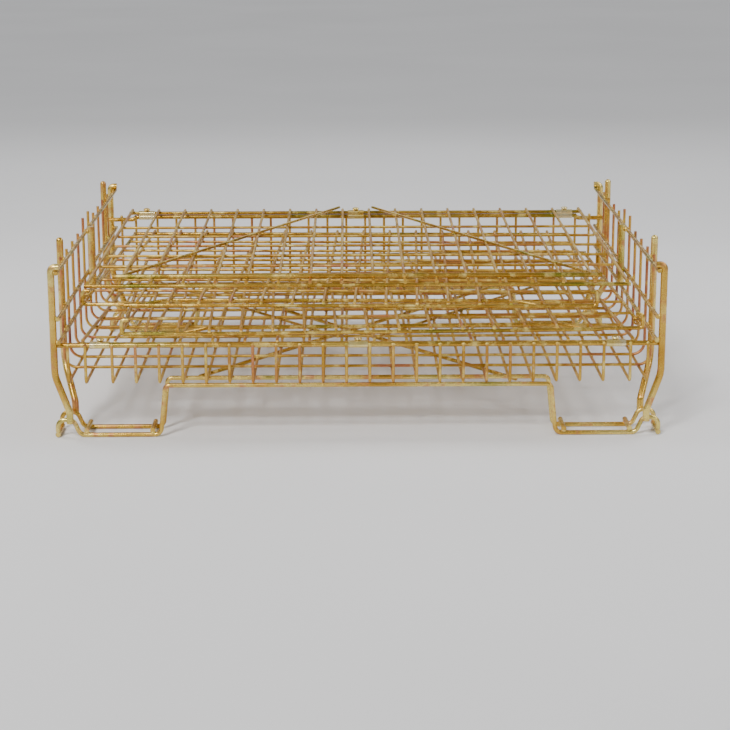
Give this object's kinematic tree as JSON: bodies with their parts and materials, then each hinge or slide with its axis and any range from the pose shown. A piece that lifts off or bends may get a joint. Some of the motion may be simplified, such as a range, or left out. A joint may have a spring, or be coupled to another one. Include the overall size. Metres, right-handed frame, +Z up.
{
  "type": "wire mesh container",
  "caption": "Collapsible wire mesh container, folded flat, with hinged long walls, lift-out end panels and stacking feet.",
  "frame": {"origin": "on the ground, in the middle of the footprint", "axes": "+X along the container's long side, +Y from the front (low rail) to the rear (high rail), +Z up"},
  "size_m": [1.2, 1, 0.378],
  "materials": {
    "yellow_zinc": "yellow-passivated zinc plate, satin",
    "white_zinc": "pale zinc plate, bright"
  },
  "bodies": {
    "base": {"floor_cross_wires": "yellow_zinc", "floor_long_wires": "yellow_zinc", "front_apron_wires": "yellow_zinc", "front_clip_rivets": "white_zinc", "front_hinge_clips": "white_zinc", "front_left_corner_post": "yellow_zinc", "front_left_foot_bars": "yellow_zinc", "front_left_foot_cross_rods": "yellow_zinc", "front_rail": "yellow_zinc", "front_right_corner_post": "yellow_zinc", "front_right_foot_bars": "yellow_zinc", "front_right_foot_cross_rods": "yellow_zinc", "front_span_bars": "yellow_zinc", "left_end_wires": "yellow_zinc", "left_guide_posts": "yellow_zinc", "left_low_rail": "yellow_zinc", "left_middle_post": "yellow_zinc", "left_middle_rail": "yellow_zinc", "left_top_rail": "yellow_zinc", "lower_floor_brace": "yellow_zinc", "rear_apron_wires": "yellow_zinc", "rear_clip_rivets": "white_zinc", "rear_hinge_clips": "white_zinc", "rear_left_corner_post": "yellow_zinc", "rear_left_foot_bars": "yellow_zinc", "rear_left_foot_cross_rods": "yellow_zinc", "rear_rail": "yellow_zinc", "rear_right_corner_post": "yellow_zinc", "rear_right_foot_bars": "yellow_zinc", "rear_right_foot_cross_rods": "yellow_zinc", "rear_span_bars": "yellow_zinc", "right_end_wires": "yellow_zinc", "right_guide_posts": "yellow_zinc", "right_low_rail": "yellow_zinc", "right_middle_post": "yellow_zinc", "right_middle_rail": "yellow_zinc", "right_top_rail": "yellow_zinc", "upper_floor_brace": "yellow_zinc"},
    "rear_wall": {"rear_wall_braces": "yellow_zinc", "rear_wall_cross_wires": "yellow_zinc", "rear_wall_hinge_rod": "yellow_zinc", "rear_wall_top_rods": "yellow_zinc", "rear_wall_upright_wires": "yellow_zinc"},
    "front_wall": {"front_wall_braces": "yellow_zinc", "front_wall_cross_wires": "yellow_zinc", "front_wall_hinge_rod": "yellow_zinc", "front_wall_top_rods": "yellow_zinc", "front_wall_upright_wires": "yellow_zinc"},
    "left_end_panel": {"left_panel_cross_wires": "yellow_zinc", "left_panel_outer_top_rod": "yellow_zinc", "left_panel_rim_rods": "yellow_zinc", "left_panel_top_rod": "yellow_zinc", "left_panel_upright_wires": "yellow_zinc"},
    "right_end_panel": {"right_panel_cross_wires": "yellow_zinc", "right_panel_outer_top_rod": "yellow_zinc", "right_panel_rim_rods": "yellow_zinc", "right_panel_top_rod": "yellow_zinc", "right_panel_upright_wires": "yellow_zinc"},
    "left_latch": {"left_panel_latch": "yellow_zinc"},
    "right_latch": {"right_panel_latch": "yellow_zinc"}
  },
  "joints": [
    {"name": "rear_wall_hinge", "type": "hinge", "parent": "base", "child": "rear_wall", "pos_m": [0, 0.481, 0.28], "axis": [-1, 0, 0], "range_deg": [0, 100]},
    {"name": "front_wall_hinge", "type": "hinge", "parent": "base", "child": "front_wall", "pos_m": [0, -0.4716, 0.186], "axis": [1, 0, 0], "range_deg": [0, 3.6]},
    {"name": "left_panel_lift_out", "type": "slide", "parent": "base", "child": "left_end_panel", "axis": [0, -1, 0], "range_m": [0, 0.9]},
    {"name": "right_panel_lift_out", "type": "slide", "parent": "base", "child": "right_end_panel", "axis": [0, -1, 0], "range_m": [0, 0.85]},
    {"name": "left_latch_swing", "type": "hinge", "parent": "left_end_panel", "child": "left_latch", "pos_m": [-0.5468, -0.31895, 0.246], "axis": [-0.0314, -0.9995, 0], "range_deg": [0, 80]},
    {"name": "right_latch_swing", "type": "hinge", "parent": "right_end_panel", "child": "right_latch", "pos_m": [0.5598, -0.38395, 0.208], "axis": [-0.0314, 0.9995, 0], "range_deg": [0, 80]}
  ]
}
